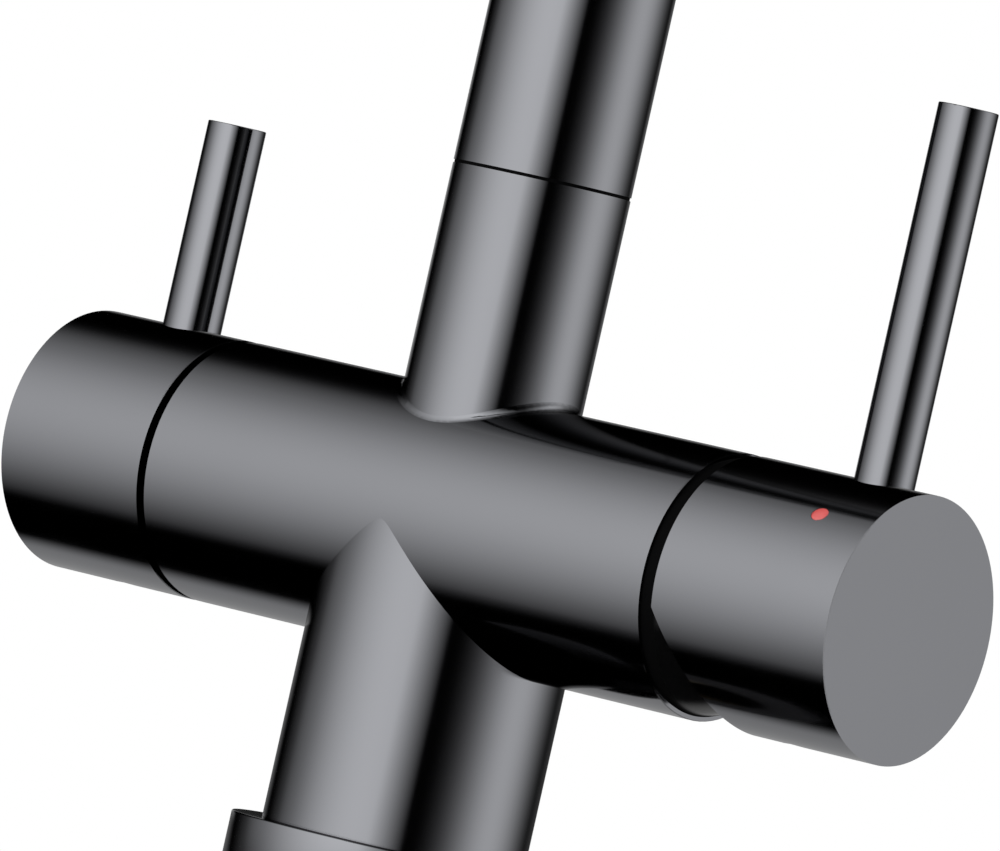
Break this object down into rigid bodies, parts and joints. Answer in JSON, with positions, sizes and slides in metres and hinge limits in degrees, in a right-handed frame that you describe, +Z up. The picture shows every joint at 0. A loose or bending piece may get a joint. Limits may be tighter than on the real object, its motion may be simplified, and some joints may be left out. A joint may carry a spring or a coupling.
{
  "type": "three way filtered water tap",
  "caption": "Worktop mixer tap with a tall swan neck spout, a cross tube body, a long mixer lever and a short lever for filtered water.",
  "frame": {"origin": "centre of the base ring's underside, on the worktop's upper face", "axes": "+Z up; the spout points to -Y, to the front; the cross tube lies along X with the mixer at +X and the filtered water valve at -X"},
  "size_m": [0.1877, 0.235, 0.438],
  "materials": {
    "gunmetal": "dark polished plating over brass",
    "brass": "machined",
    "steel": "plain stainless steel",
    "rubber": "matt",
    "grey_plastic": "moulded",
    "white_plastic": "moulded",
    "black_plastic": "moulded, matt",
    "ceramic": "lapped alumina ceramic",
    "red_enamel": "glossy enamel",
    "blue_enamel": "glossy enamel"
  },
  "bodies": {
    "fixed_body": {"body": "gunmetal", "base_ring": "gunmetal", "base_seal": "rubber", "mounting_shank": "brass", "rubber_washer": "rubber", "clamp_washer": "steel", "back_nut": "brass", "cartridge_housing": "grey_plastic", "cartridge_plate": "grey_plastic", "port_seals": "rubber", "fixed_disc": "ceramic", "cartridge_nut": "brass", "dome_cover": "black_plastic", "valve_body": "brass", "filter_fixed_disc": "ceramic", "filter_seat_seal": "rubber", "retaining_screw": "steel", "slip_ring": "black_plastic", "inner_tube_ring": "rubber"},
    "mixer_rotor": {"rotor": "grey_plastic", "rotor_seal": "rubber", "pivot_pin": "steel"},
    "mixer_disc": {"moving_disc": "ceramic", "disc_carrier": "grey_plastic"},
    "mixer_lever_body": {"lever_stem": "steel", "mixer_handle": "gunmetal", "mixer_lever": "gunmetal", "mixer_grub_screw": "steel", "hot_index_dot": "red_enamel", "cold_index_dot": "blue_enamel"},
    "filter_lever_body": {"filter_spindle": "brass", "filter_moving_disc": "ceramic", "spindle_rings": "rubber", "spindle_circlip": "steel", "filter_handle": "gunmetal", "filter_lever": "gunmetal", "filter_grub_screw": "steel"},
    "spout": {"spout_tube": "gunmetal", "swivel_stub": "brass", "swivel_rings": "rubber", "inner_tube": "white_plastic", "outlet_fitting": "brass", "outlet_seal": "rubber", "aerator_housing": "gunmetal", "aerator_insert": "white_plastic", "filter_nozzle": "white_plastic"}
  },
  "joints": [
    {"name": "spout_swivel", "type": "hinge", "parent": "fixed_body", "child": "spout", "pos_m": [0, 0, 0.1297], "axis": [0, 0, 1], "continuous": true},
    {"name": "filter_turn", "type": "hinge", "parent": "fixed_body", "child": "filter_lever_body", "pos_m": [-0.0705, 0, 0.0672], "axis": [1, 0, 0], "range_deg": [0, 90]},
    {"name": "mixer_temperature", "type": "hinge", "parent": "fixed_body", "child": "mixer_rotor", "pos_m": [0.052, 0, 0.0672], "axis": [1, 0, 0], "range_deg": [-45, 45]},
    {"name": "mixer_flow", "type": "hinge", "parent": "mixer_rotor", "child": "mixer_lever_body", "pos_m": [0.052, 0, 0.0672], "axis": [0, 1, 0], "range_deg": [0, 20]},
    {"name": "mixer_disc_slide", "type": "slide", "parent": "mixer_rotor", "child": "mixer_disc", "axis": [0, 0, 1], "range_m": [0, 0.00508]}
  ],
  "couplings": [
    {"joint": "mixer_disc_slide", "follows": "mixer_flow", "m_per_rad": 0.014548}
  ]
}
